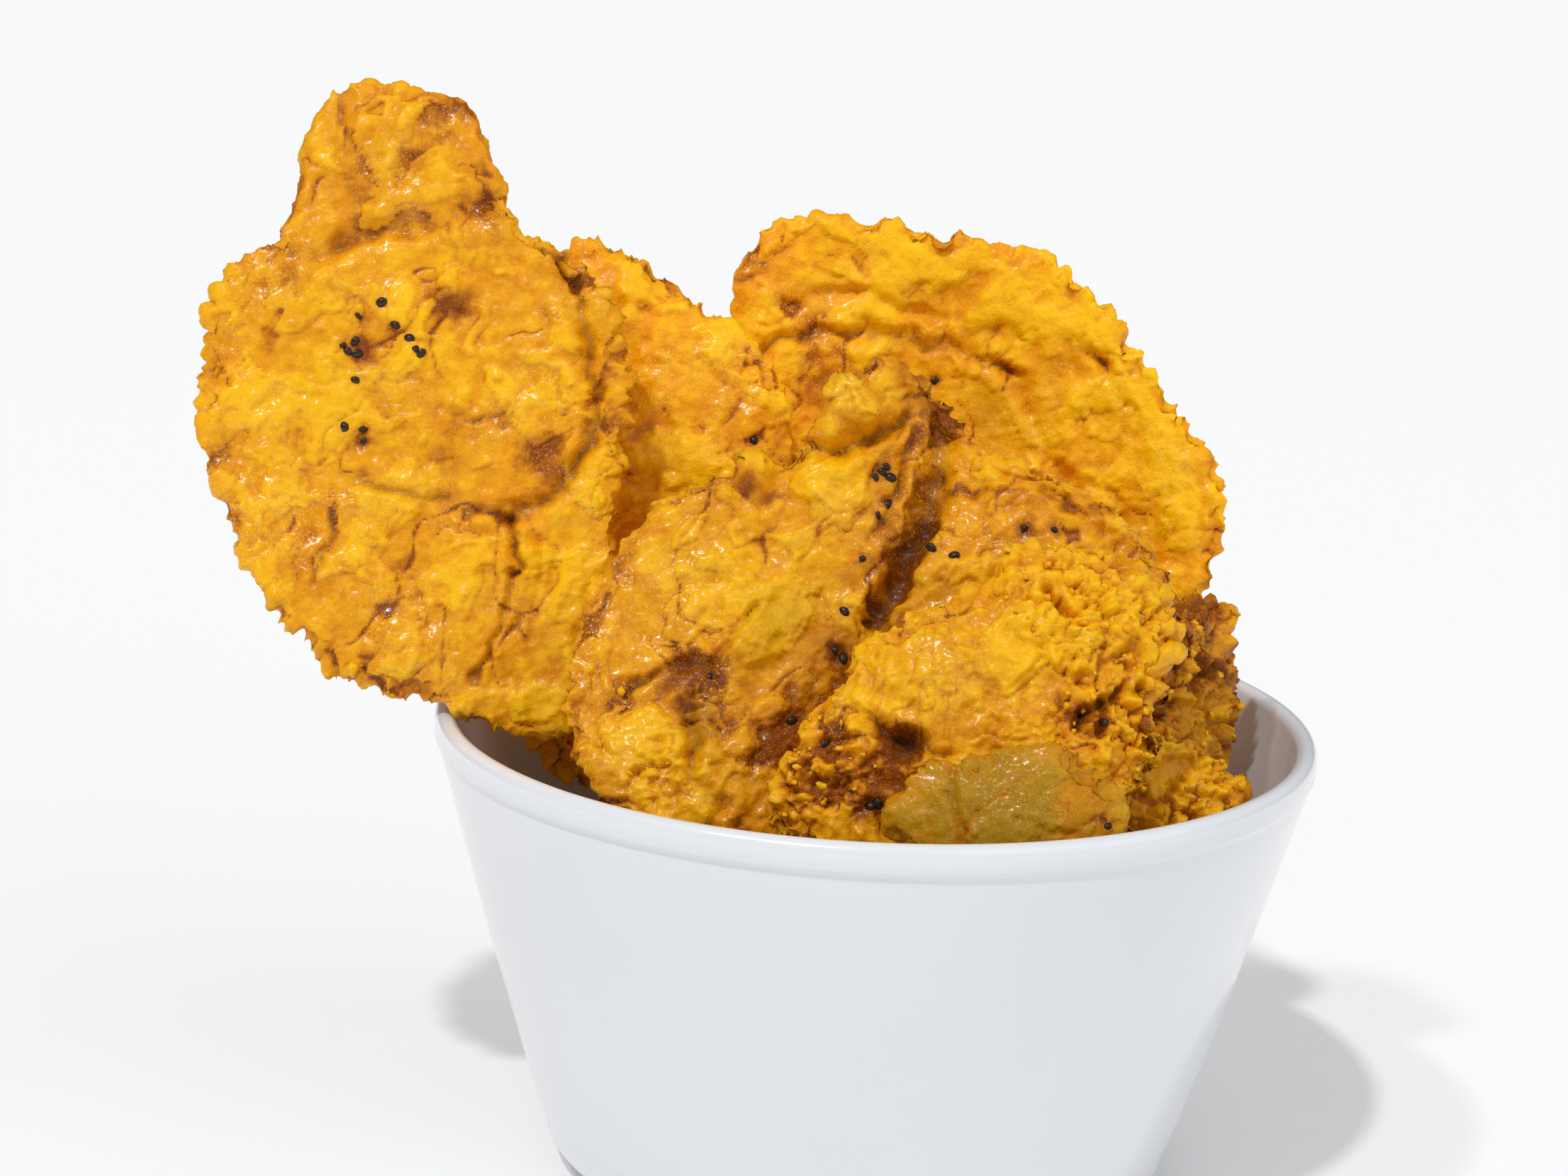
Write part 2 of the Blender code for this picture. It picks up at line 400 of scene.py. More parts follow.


# The tostones. Places are millimetres in the disc's own plane, from the middle of its node: right, up.
# crease = (line, width, depth, browned colour with painted shade at its bottom), patch = (right, up,
# radius, kind, amount), bulge = (direction in degrees, width in degrees, amount).
# the tone of each disc is partly painted light and shade: the discs at the back are made brighter and those
# in front darker, for how well each is lit
discLooks = {
    "tostone_left": dict(
        lean=16, turn=0, voxel=0.40, toneAndPaintedLight=0.44, seed=1, rag=1.1, bite=0.35,
        bulges=((84, 5, 1.8), (106, 5, 1.8), (95, 4, -0.8), (112, 3, 0.8)),
        lump=0.55, crumb=-0.45, toastAndPaintedShade=0.28,
        creases=(([(20, 20), (23, 10), (25, -1), (22, -8), (18, -12), (14, -14)], 1.2, 1.7, 0.65),
                 ([(14, -14), (6, -13), (-2, -11), (-9, -9)], 0.9, 0.8, 0.6),
                 ([(14, -14), (15, -20), (14, -27), (12, -32), (10, -36)], 0.5, 1.1, 0.75),
                 ([(17, -15), (18, -22), (17, -30)], 0.45, 0.5, 0.35),
                 ([(-9, -14), (-10, -18), (-12, -24)], 0.45, 0.5, 0.5),
                 ([(-14, 20), (-8, 23), (0, 25), (9, 28)], 1.4, 1.2, 0.4),
                 ([(4, 0), (9, -2), (13, 0)], 0.5, 0.6, 0.5),
                 ([(27, 14), (30, 1), (29, -8)], 0.8, -0.8, 0.1)),
        patches=((5, 15, 2.2, "knob", 1.5), (5.5, 15, 1.6, "burntAndPaintedShade", 0.35), (4, 14, 2.6, "toastAndPaintedShade", 0.85),
                 (-6, 9, 3.5, "toastAndPaintedShade", 0.45), (18, -5, 4, "toastAndPaintedShade", 0.6), (-3, 33, 7, "toastAndPaintedShade", 0.3),
                 (8, 29, 4, "toastAndPaintedShade", 0.35), (-9, 37, 3, "knob", 0.9), (-22, -14, 9, "wet", 0.9),
                 (-22, -14, 7, "paleAndPaintedHighlight", 0.35), (-12, 3, 9, "freshAndPaintedLight", 0.5), (3, 5, 9, "freshAndPaintedLight", 0.45),
                 (-2, 19, 6, "freshAndPaintedLight", 0.7), (22, -17, 5, "freshAndPaintedLight", 0.8), (20, -25, 6, "freshAndPaintedLight", 0.5),
                 (-20, -30, 5, "crumb", 1.0), (-5, -38, 5, "crumb", 1.0), (9, 24, 3, "knob", 0.8),
                 (24, 8, 3, "toastAndPaintedShade", 0.4), (6, -22, 8, "paleAndPaintedHighlight", 0.25)),
        seeds=((-10, 8), (-8, 7), (-8.3, 8.6), (-8, 3.4), (0, 8), (-9, -3), (-6.6, -3.2), (-5, 14),
               (-8, 12), (-1, 9.4), (-3, 11), (-6.5, -4.8), (-9.2, 7.2), (0.8, 7.4))),
    "tostone_middle": dict(
        lean=28, turn=0, voxel=0.38, toneAndPaintedLight=0.34, seed=2, rag=1.0, lump=0.72, crumb=-0.25, toastAndPaintedShade=0.35,
        creases=(([(7, 25), (6, 15), (2, 4), (-1, -2)], 1.3, 2.4, 0.75),
                 ([(4, 24), (2, 15), (-1, 9)], 0.7, 0.9, 0.5),
                 ([(-12, 21), (-7, 19.5), (-3, 22), (3, 25)], 1.1, 1.8, 0.6),
                 ([(-22, -10), (-19, -5), (-16, -1)], 0.5, 1.3, 0.4),
                 ([(-32, -13), (-28, -11), (-24, -9), (-20, -12)], 0.6, 1.0, 0.6),
                 ([(-24, -14), (-24, -18), (-23, -25), (-19, -28)], 0.9, 1.4, 0.6),
                 ([(14, 19), (22, 16), (30, 9)], 0.8, 0.6, 0.3),
                 ([(12, 10), (18, 8), (25, 2)], 0.5, 0.5, 0.3)),
        patches=((2, 6, 4, "toastAndPaintedShade", 0.5), (14, 16, 5, "toastAndPaintedShade", 0.3), (4, 3, 3, "paleAndPaintedHighlight", 0.6),
                 (3, 8, 2.5, "burntAndPaintedShade", 0.25), (-24, -12, 6, "toastAndPaintedShade", 0.5), (-23, -17, 3, "burntAndPaintedShade", 0.4),
                 (-12, -18, 6, "toastAndPaintedShade", 0.5), (-10, -12, 6, "toastAndPaintedShade", 0.35),
                 (-18, 18, 2.8, "knob", 2.8), (-18, 18, 3.5, "freshAndPaintedLight", 0.9), (-17, 14, 2.5, "toastAndPaintedShade", 0.6),
                 (-10, 16, 3, "knob", 1.2), (-10, 16, 4, "freshAndPaintedLight", 0.8), (-5, 26, 3.8, "knob", 2.3),
                 (-9, 23, 2.5, "knob", 1.4), (-6, 26, 4.5, "freshAndPaintedLight", 0.9), (2, 30, 3, "toastAndPaintedShade", 0.5),
                 (-25, 4, 9, "freshAndPaintedLight", 0.5), (-30, -2, 8, "wet", 0.9), (-18, -25, 5, "wet", 0.9),
                 (3, 12, 6, "wet", 0.9), (-13, 2, 8, "freshAndPaintedLight", 0.5), (-6, -6, 2.5, "burntAndPaintedShade", 0.45),
                 (-14, -3, 6, "olive", 0.3), (-17, -6, 4, "knob", 0.8), (20, 6, 8, "freshAndPaintedLight", 0.3),
                 (-27, -24, 5, "crumb", 1.0)),
        seeds=((-1, 18), (-1.8, 17.2), (0.2, 17.4), (0, 14), (-1.2, 12), (-3, 6), (6, 8), (9, 7),
               (-5, -1), (-6, -6), (-4.8, -7), (18, 11), (22, 11), (-22, -11), (-11, -16), (-0.4, 18.7))),
    "tostone_front_right": dict(
        lean=25, turn=0, voxel=0.33, toneAndPaintedLight=0.34, seed=3, rag=1.3, lump=0.9, crumb=-0.1, toastAndPaintedShade=0.12,
        creases=(([(7, 9), (6, 3), (5, -3)], 0.8, -0.7, 0.3),
                 ([(-13, -2), (-8, -5), (-3, -6)], 1.0, 1.3, 0.75),
                 ([(-13, 7), (-6, 11), (1, 14), (5, 19)], 0.6, 0.8, 0.3),
                 ([(14, -1), (18, 3), (22, 4)], 0.7, 1.4, 0.5),
                 ([(9, 16), (13, 12), (18, 13)], 0.6, 1.2, 0.3)),
        # the pits at (-8, -5) and (-4, -8) get burnt and toast patches: painted shade in the holes over
        # some browning
        patches=((-8, -5, 2.0, "knob", -1.9), (-8, -5, 2.1, "burntAndPaintedShade", 0.6), (-8, -5, 2.6, "toastAndPaintedShade", 0.8),
                 (-4, -8, 1.1, "knob", -0.9), (-4, -8, 1.2, "burntAndPaintedShade", 0.5),
                 (15, 0, 4, "toastAndPaintedShade", 0.7), (12, 13, 9, "freshAndPaintedLight", 0.9), (13, 13, 10, "crumb", 1.0),
                 (-18, -8, 8, "crumb", 1.2), (19, 0, 6, "crumb", 1.0),
                 (-5, 4, 9, "fibre", 1.0), (-5, 6, 6, "knob", 1.4), (6, 2, 2.5, "paleAndPaintedHighlight", 0.7),
                 (-16, -8, 7, "toastAndPaintedShade", 0.35), (-8, 11, 3, "paleAndPaintedHighlight", 0.5), (-12, -12, 5, "toastAndPaintedShade", 0.6),
                 (7, 18, 4, "knob", 1.2), (-3, 3, 5, "wet", 0.9), (12, -2, 3, "knob", -1.6)),
        seeds=((-18, -5), (17, -1), (-12, -13), (14, 0.4), (-11, -12.4))),
    "tostone_rear": dict(
        lean=12, turn=0, voxel=0.48, toneAndPaintedLight=0.72, seed=4, rag=0.9, lump=0.5, crumb=-0.5, toastAndPaintedShade=0.22,
        creases=(([(-33, 17), (-28, 21), (-17, 22), (-5, 21), (4, 18)], 1.0, 1.1, 0.6),
                 ([(-28, 26), (-17, 28), (-7, 25), (-3, 20)], 0.8, 0.8, 0.35),
                 ([(14, 23), (18, 19), (22, 12)], 0.7, 0.6, 0.35),
                 ([(5, 17), (9, 9), (14, 1)], 1.2, 1.0, 0.2)),
        patches=((2, 11, 7, "olive", 0.45), (7, 14, 3.5, "paleAndPaintedHighlight", 0.6), (-22, 16, 6, "toastAndPaintedShade", 0.4),
                 (24, 14, 10, "freshAndPaintedLight", 0.7), (14, 27, 10, "freshAndPaintedLight", 0.5), (-15, 31, 10, "freshAndPaintedLight", 0.4),
                 (30, -2, 7, "freshAndPaintedLight", 0.4), (24, 3, 6, "knob", 0.6)),
        seeds=((-17, 11), (-6, 16))),
    "tostone_mid_left": dict(
        lean=15, turn=0, voxel=0.55, toneAndPaintedLight=0.76, seed=5, rag=0.9, lump=0.55, crumb=-0.35, toastAndPaintedShade=0.22,
        creases=(([(-9, 23), (-8, 14), (-4, 4), (-4, -4)], 0.8, -1.0, 0.1),
                 ([(-11, 22), (-10, 12), (-6, 3)], 0.9, 0.9, 0.6)),
        patches=((6, 14, 5, "paleAndPaintedHighlight", 0.5), (4, 22, 8, "freshAndPaintedLight", 0.4), (-2, 30, 4, "toastAndPaintedShade", 0.4),
                 (8, 2, 8, "freshAndPaintedLight", 0.5)),
        seeds=((12, 8),)),
    "tostone_front_flap": dict(
        lean=14, turn=0, voxel=0.38, toneAndPaintedLight=0.10, seed=6, rag=0.9, lump=0.45, crumb=-0.8, toastAndPaintedShade=0.1,
        creases=(([(-8, 5), (-6, 1), (-4, -4)], 0.6, 1.0, 0.5),
                 ([(-15, 4), (-8, 7), (1, 9.5), (11, 9)], 0.9, -0.5, 0.35)),
        patches=((0, -3, 22, "olive", 0.85), (-12, 5, 4, "paleAndPaintedHighlight", 0.5), (4, 9, 4, "paleAndPaintedHighlight", 0.5),
                 (-9, 7, 4, "wet", 1.0), (2, 10, 4, "wet", 1.0), (0, 2, 10, "fibre", 0.7),
                 (-10, -3, 6, "toastAndPaintedShade", 0.5), (9, 3, 5, "toastAndPaintedShade", 0.45)),
        seeds=((13, 0),)),
    "tostone_right_edge": dict(
        lean=3, turn=64, voxel=0.45, toneAndPaintedLight=0.30, seed=7, rag=1.3, lump=1.3, crumb=0.5, toastAndPaintedShade=0.7,
        creases=(), patches=((0, 0, 20, "toastAndPaintedShade", 0.3), (0, 6, 5, "burntAndPaintedShade", 0.2)), seeds=()),
    "tostone_right_low": dict(
        lean=24, turn=20, voxel=0.42, toneAndPaintedLight=0.48, seed=8, rag=1.3, lump=1.2, crumb=0.4, toastAndPaintedShade=0.3,
        creases=(), patches=((3, 4, 6, "freshAndPaintedLight", 0.6), (-6, -2, 5, "toastAndPaintedShade", 0.4)), seeds=()),
    "tostone_centre": dict(
        lean=16, turn=-8, voxel=0.75, toneAndPaintedLight=0.40, seed=9, rag=1.1, lump=1.1, crumb=-0.1, toastAndPaintedShade=0.4,
        creases=(), patches=(), seeds=((2, 5), (-3, 8), (0, 1))),
    "tostone_rear_low": dict(
        lean=8, turn=0, voxel=0.60, toneAndPaintedLight=0.50, seed=10, rag=1.2, lump=1.2, crumb=-0.1, toastAndPaintedShade=0.4,
        creases=(([(-14, 8), (-4, 3), (6, 6), (14, 2)], 1.2, 0.9, 0.6),),
        patches=((0, 4, 8, "freshAndPaintedLight", 0.4),), seeds=((1, 8), (-4, 5), (3, 1))),
    "tostone_rear_left": dict(
        lean=6, turn=52, voxel=0.60, toneAndPaintedLight=0.50, seed=11, rag=1.2, lump=1.2, crumb=-0.1, toastAndPaintedShade=0.4,
        creases=(([(-10, -3), (0, 4), (9, 10)], 1.2, 0.9, 0.6),),
        patches=((0, 0, 7, "freshAndPaintedLight", 0.4),), seeds=((2, 3), (-3, -2))),
    "tostone_rear_right": dict(
        lean=14, turn=-38, voxel=0.75, toneAndPaintedLight=0.50, seed=12, rag=1.1, lump=1.1, crumb=-0.1, toastAndPaintedShade=0.4,
        creases=(), patches=(), seeds=()),
    "tostone_bottom_top": dict(
        lean=77, turn=0, voxel=0.80, toneAndPaintedLight=0.50, seed=13, rag=1.0, lump=1.1, crumb=-0.1, toastAndPaintedShade=0.4,
        creases=(), patches=(), seeds=((2, 5), (-3, 8), (0, 1), (5, -3))),
    "tostone_bottom_middle": dict(
        lean=86, turn=30, voxel=1.00, toneAndPaintedLight=0.50, seed=14, rag=0.8, lump=0.9, crumb=-0.1, toastAndPaintedShade=0.4,
        creases=(), patches=(), seeds=()),
    "tostone_bottom": dict(
        lean=88, turn=0, voxel=1.00, toneAndPaintedLight=0.50, seed=15, rag=0.6, lump=0.8, crumb=-0.1, toastAndPaintedShade=0.4,
        creases=(), patches=(), seeds=()),
}


# middle of the node, and the directions right, up and out of the disc's face
def discFrame(name, look):
    low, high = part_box(name)
    middle = (np.array(low) + np.array(high)) / 2
    lean, turn = math.radians(look["lean"]), math.radians(look["turn"])
    right = np.array((math.cos(turn), math.sin(turn), 0))
    up = np.array((-math.sin(turn) * math.sin(lean), math.cos(turn) * math.sin(lean), math.cos(lean)))
    return middle, right, up, np.cross(right, up)


# a closed copy of a node's solid, its facets rounded off and evenly remeshed
def roundedCopy(name, voxel):
    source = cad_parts[name]
    shape = bmesh.new()
    shape.from_mesh(source.data)
    bmesh.ops.remove_doubles(shape, verts=shape.verts, dist=0.01 * mm)
    bmesh.ops.join_triangles(shape, faces=shape.faces, angle_face_threshold=math.radians(40),
                             angle_shape_threshold=math.radians(60))
    mesh = bpy.data.meshes.new(name + " core")
    shape.to_mesh(mesh)
    shape.free()
    made = bpy.data.objects.new(name + "_fried", mesh)
    bpy.context.scene.collection.objects.link(made)
    rounding = made.modifiers.new("round", "SUBSURF")
    rounding.levels = rounding.render_levels = 2
    remesh = made.modifiers.new("even", "REMESH")
    remesh.mode = "VOXEL"
    remesh.voxel_size = voxel * mm
    ready = bpy.data.meshes.new_from_object(made.evaluated_get(bpy.context.evaluated_depsgraph_get()))
    made.modifiers.clear()
    made.data = ready
    return made


def readPoints(mesh):
    points = np.empty(len(mesh.vertices) * 3)
    mesh.vertices.foreach_get("co", points)
    normals = np.empty(len(mesh.vertices) * 3)
    mesh.vertex_normals.foreach_get("vector", normals)
    return points.reshape(-1, 3), normals.reshape(-1, 3)


def writePoints(mesh, points):
    mesh.vertices.foreach_set("co", points.ravel())
    mesh.update()


# how far in from the disc's outline each point lies, along its own direction from the middle
def edgeInset(flat, bins=180):
    turn = (np.arctan2(flat[:, 1], flat[:, 0]) + math.pi) / math.tau * bins
    far = np.hypot(flat[:, 0], flat[:, 1])
    reach = np.zeros(bins)
    np.maximum.at(reach, turn.astype(int) % bins, far)
    reach = (np.roll(reach, 1) + 2 * reach + np.roll(reach, -1)) / 4
    start = np.floor(turn - 0.5).astype(int)
    part = turn - 0.5 - start
    return reach[start % bins] * (1 - part) + reach[(start + 1) % bins] * part - far


zoneKinds = ("toastAndPaintedShade", "burntAndPaintedShade", "freshAndPaintedLight", "paleAndPaintedHighlight", "olive", "wet", "knob", "crumb", "fibre")

# the crust's features, the same on every disc: (size, strength) or a size alone, in millimetres
frying = dict(
    rim=(0.5, 4.5), bites=(8, 2.2), teeth=(4.2, 1.7), fineTeeth=(2.1, 1.3), nicks=(1.3, 0.35),
    swells=(17, 1.3), dents=(6.5, 0.6), plates=9, wrinkles=(4.5, 0.55), blisters=(2.4, 0.5),
    knobs=4.0, bigBillows=3.2, smallBillows=1.5, strands=(1.5, 0.22), cracks=(11, 0.35),
    pits=(2.2, 0.35), grain=(0.9, 0.17), seedPit=(0.8, 0.2), seedHalo=(1.25, 0.55),
    sink=0.35,             # keeps the swollen flesh inside the node's own space
    looseAbove=52)         # lower down in the bowl no loose crumb would show


# zero along wandering lines, growing away from them
def ridges(points, size, seed):
    return np.abs(gradientNoise(points, size, seed))


def warped(points, amount, size, seed, octaves=2):
    return points + amount * fractal(points, size, seed, octaves)[:, None]


def bell(away, width):
    return np.exp(-(away / width) ** 2)


# ragged outline: teeth and bites, pushed in and out in the disc's plane
def raggedEdge(points, flat, middle, out, rim, look, seed):
    side = points - middle
    depth = side @ out
    side = side - depth[:, None] * out
    side /= np.maximum(np.linalg.norm(side, axis=1), 1e-9)[:, None]
    along = points / mm - 0.8 * (depth / mm)[:, None] * out      # teeth run on across the thickness
    uneven = (0.75 + 0.9 * fractal(along, 16, seed + 25, 2)).clip(0.25, 1.5)
    size, strength = frying["bites"]
    bites = np.minimum(0, fractal(along, size, seed + 1, 2) + 0.1) * strength * look.get("bite", 1)
    saw = np.zeros(len(points))
    for kind, shift in (("teeth", 2), ("fineTeeth", 26)):
        size, strength = frying[kind]
        saw += strength * (0.3 - ridges(along, size, seed + shift) * 1.3)
    size, strength = frying["nicks"]
    teeth = uneven * (saw + strength * fractal(along, size, seed + 3, 2, 0.6)) + bites - 0.3
    push = teeth * look["rag"]
    angle = np.degrees(np.arctan2(flat[:, 1], flat[:, 0]))
    for direction, width, amount in look.get("bulges", ()):
        push += amount * bell((angle - direction + 180) % 360 - 180, width)
    return points + side * (rim * push * mm)[:, None]


# how strongly each kind of patch acts at each point of the front
def patchZones(flat, own, front, look, seed):
    zones = {kind: np.zeros(len(flat)) for kind in zoneKinds}
    uneven = 1 + 0.4 * fractal(own, 5, seed + 20, 2)
    for across, upward, radius, kind, amount in look["patches"]:
        away = np.hypot(flat[:, 0] - across, flat[:, 1] - upward) * uneven
        sharpness = 4 if kind in ("knob", "crumb") else 2
        zones[kind] += front * amount * np.exp(-(away / radius) ** sharpness)
    return zones


def storeMasks(mesh, name, first, second, third):
    values = np.stack((first, second, third, np.ones(len(first))), axis=1).clip(0, 1)
    layer = mesh.attributes.new(name, "FLOAT_COLOR", "POINT")
    layer.data.foreach_set("color", values.ravel())


def fryDisc(name, look, surface):
    made = roundedCopy(name, look["voxel"])
    mesh = made.data
    middle, right, up, out = discFrame(name, look)
    seed = look["seed"] * 13
    points = readPoints(mesh)[0]
    own = points / mm
    flat = np.stack(((points - middle) @ right, (points - middle) @ up), axis=1) / mm
    rim = 1 - smooth(*frying["rim"], edgeInset(flat))
    writePoints(mesh, raggedEdge(points, flat, middle, out, rim, look, seed))
    points, normals = readPoints(mesh)
    front = (normals @ out > 0) * 1.0
    zones = patchZones(flat, own, front, look, seed)
    fibre = zones["fibre"].clip(0, 1)

    # crushed flesh: broad swells, torn plates with thin edges, wrinkles, blisters and cracks
    size, strength = frying["swells"]
    swell = strength * fractal(own, size, seed + 4, 2)
    size, strength = frying["dents"]
    swell += strength * fractal(own, size, seed + 5, 2)
    plates = fractal(warped(own, 2.5, 7, seed + 6), frying["plates"], seed + 7, 3)
    torn = smooth(-0.02, 0.03, plates) * 0.8 + smooth(0.28, 0.32, plates) * 0.6 - 0.5
    tornEdge = bell(plates + 0.01, 0.04) + 0.7 * bell(plates - 0.27, 0.04)
    size, strength = frying["wrinkles"]
    wrinkles = strength * (0.35 - ridges(warped(own, 1.2, 6, seed + 27), size, seed + 28) * 1.6)
    size, strength = frying["blisters"]
    blisters = strength * smooth(0.35, 0.7, fractal(own, size, seed + 16, 2))
    blisters *= smooth(-0.1, 0.3, fractal(own, 13, seed + 23, 2))

    # crumbs where the flesh is broken: rounded knobs with sunken gaps between them, which are given painted
    # shade below
    crumbly = smooth(0.15, 0.7, fractal(own, 12, seed + 10, 2) + look["crumb"] + rim * 0.25)
    crumbly = np.maximum(crumbly, zones["crumb"].clip(0, 1.3)) * (1 - fibre)
    near, second = cellNoise(warped(own, 1.3, 3, seed + 8, 3), frying["knobs"], seed + 9)
    gaps = bell(second - near, 0.13)
    billows = ridges(own, frying["bigBillows"], seed + 30) * 2
    billows += ridges(own, frying["smallBillows"], seed + 31) - 0.6
    knobs = (0.5 - near) * 1.3 + 0.9 * billows + 0.5 * fractal(own, 1.7, seed + 19, 2, 0.6)

    # strands run up the disc, cracks wander between the crumbs
    size, strandDepth = frying["strands"]
    strandPlace = np.stack((flat[:, 0] + 0.12 * flat[:, 1], flat[:, 1] * 0.12, own @ out), axis=1)
    strand = zones["fibre"] * smooth(0.28, 0.46, 0.5 - ridges(strandPlace, size, seed + 15) * 2)
    size, crackDepth = frying["cracks"]
    cracks = bell(gradientNoise(warped(own, 1.5, 5, seed + 32), size, seed + 33), 0.03)
    cracks *= smooth(-0.1, 0.25, fractal(own, 12, seed + 34, 2)) * (1 - crumbly)

    size, strength = frying["pits"]
    detail = torn + wrinkles + crumbly * (knobs - 0.8 * gaps) + blisters
    detail += strength * fractal(own, size, seed + 21, 2, 0.6)
    detail *= 1 - 0.6 * fibre
    height = look["lump"] * (swell + detail) - crackDepth * cracks
    height += zones["knob"] - strandDepth * strand

    # browned along edges and thin torn edges; painted shade, a browned colour, in hollows, crumb gaps and
    # cracks; painted light, a lighter flesh colour, where it stands proud and on the light patches, which
    # are partly lighter flesh and partly painted highlights
    paintedShadeInHollows = smooth(0.1, -1.0, detail)
    paintedLightOnTops = smooth(0.1, 1.1, detail)
    toastAndPaintedShade = look["toastAndPaintedShade"] * (0.15 + rim * 0.8 + 0.9 * smooth(0.0, 0.5, fractal(own, 8, seed + 11, 3)))
    toastAndPaintedShade += 0.30 * tornEdge * smooth(-0.2, 0.3, fractal(own, 10, seed + 24, 2))
    toastAndPaintedShade += 0.35 * crumbly * gaps + 0.48 * paintedShadeInHollows - 0.2 * paintedLightOnTops + 0.6 * cracks
    toastAndPaintedShade += zones["toastAndPaintedShade"] - 0.4 * zones["freshAndPaintedLight"] - 0.3 * zones["olive"]
    toastAndPaintedShade += 0.75 * strand - 0.35 * zones["fibre"]
    burntAndPaintedShade = zones["burntAndPaintedShade"].copy()
    freshAndPaintedLight = 0.55 * smooth(0.1, 0.5, fractal(own, 7, seed + 12, 3)) * (1 - rim) + zones["freshAndPaintedLight"]
    freshAndPaintedLight += zones["paleAndPaintedHighlight"] * 0.8 + 0.5 * paintedLightOnTops - 0.4 * paintedShadeInHollows
    wet = 0.2 + smooth(0.0, 0.5, fractal(own, 10, seed + 13, 2)) * 0.7 + zones["wet"]
    # the tone: per disc it is painted light and shade for how well the disc is lit, and the noise adds
    # random own tone
    toneAndPaintedLight = look["toneAndPaintedLight"] + 0.12 * fractal(own, 20, seed + 29, 2)

    # creases: a groove with a low swell beside it, browned along it, and at its bottom a charred colour
    # that is also painted shade
    wander = flat + 0.9 * np.stack((fractal(own, 5, seed + 14, 3, 0.6),
                                    fractal(own, 5, seed + 17, 3, 0.6)), axis=1)
    strength = front * (0.85 + 0.6 * fractal(own, 6, seed + 18, 2)).clip(0.45, 1.3)
    for line, width, depth, browningAndPaintedShade in look["creases"]:
        away = lineDistance(wander, line)
        height -= strength * depth * bell(away, width)
        height += strength * abs(depth) * 0.3 * bell(away - 2.2 * width, width)
        toastAndPaintedShade += strength * browningAndPaintedShade * 0.7 * bell(away, width * 1.5)
        burntAndPaintedShade += strength * max(0, browningAndPaintedShade - 0.35) * 1.3 * bell(away, width * 0.6)

    # each seed sits in a small browned pit
    nearest = np.full(len(points), 99.0)
    for across, upward in look["seeds"]:
        nearest = np.minimum(nearest, np.hypot(flat[:, 0] - across, flat[:, 1] - upward))
    size, strength = frying["seedPit"]
    height -= front * strength * bell(nearest, size)
    size, strength = frying["seedHalo"]
    toastAndPaintedShade += front * strength * bell(nearest, size)
    size, strength = frying["grain"]
    height += strength * fractal(own, size, seed + 22, 2, 0.6) - frying["sink"]

    points = points + normals * (height * mm)[:, None]
    writePoints(mesh, points)
    storeMasks(mesh, "cookAndPaintedLight", toastAndPaintedShade, burntAndPaintedShade, freshAndPaintedLight)
    storeMasks(mesh, "tintAndPaintedLight", zones["olive"], wet, toneAndPaintedLight)
    mesh.shade_smooth()
    mesh.materials.clear()
    mesh.materials.append(surface)
    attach(made, "root")
    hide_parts(name)
    loose = (crumbly > 0.6) & (normals @ out > -0.2) & (points[:, 2] > frying["looseAbove"] * mm)
    return made, points[loose], normals[loose]


# millimetres; length and thickness are shares of the radius
seedSizes = dict(radius=0.58, length=1.35, thickness=0.8, sink=0.05, above=25, uneven=0.06)


def buildSeeds(discs, sizes, surface):
    shape = bmesh.new()
    for name, made in discs.items():
        look = discLooks[name]
        middle, right, up, out = discFrame(name, look)
        tree = BVHTree.FromPolygons([point.co for point in made.data.vertices],
                                    [face.vertices for face in made.data.polygons])
        for across, upward in look["seeds"]:
            start = middle + (across * right + upward * up + sizes["above"] * out) * mm
            place, normal, _, _ = tree.ray_cast(Vector(start), Vector(-out))
            if place is None:
                continue
            scale = random.uniform(0.75, 1.15)
            turn = Vector((0, 0, 1)).rotation_difference(normal).to_matrix().to_4x4()
            spin = Matrix.Rotation(random.uniform(0, math.tau), 4, "Z")
            radius = sizes["radius"] * scale
            stretch = Matrix.Diagonal((radius, radius * sizes["length"], radius * sizes["thickness"], 1))
            matrix = (Matrix.Translation(place - normal * sizes["sink"] * mm) @ turn @ spin
                      @ Matrix.Scale(mm, 4) @ stretch)
            grain = bmesh.ops.create_icosphere(shape, subdivisions=2, radius=1.0, matrix=matrix)
            for point in grain["verts"]:
                point.co += Vector(random.uniform(-sizes["uneven"], sizes["uneven"], 3)) * mm
    return linkPiece("plantain_seeds", shape, surface)


# millimetres; every is how many broken places share one chance of a crumb
crumbSizes = dict(number=220, every=25, least=0.25, most=0.8, rise=0.3,
                  toastAndPaintedShade=0.35, freshAndPaintedLight=0.3, wet=0.5, toneAndPaintedLight=0.55)


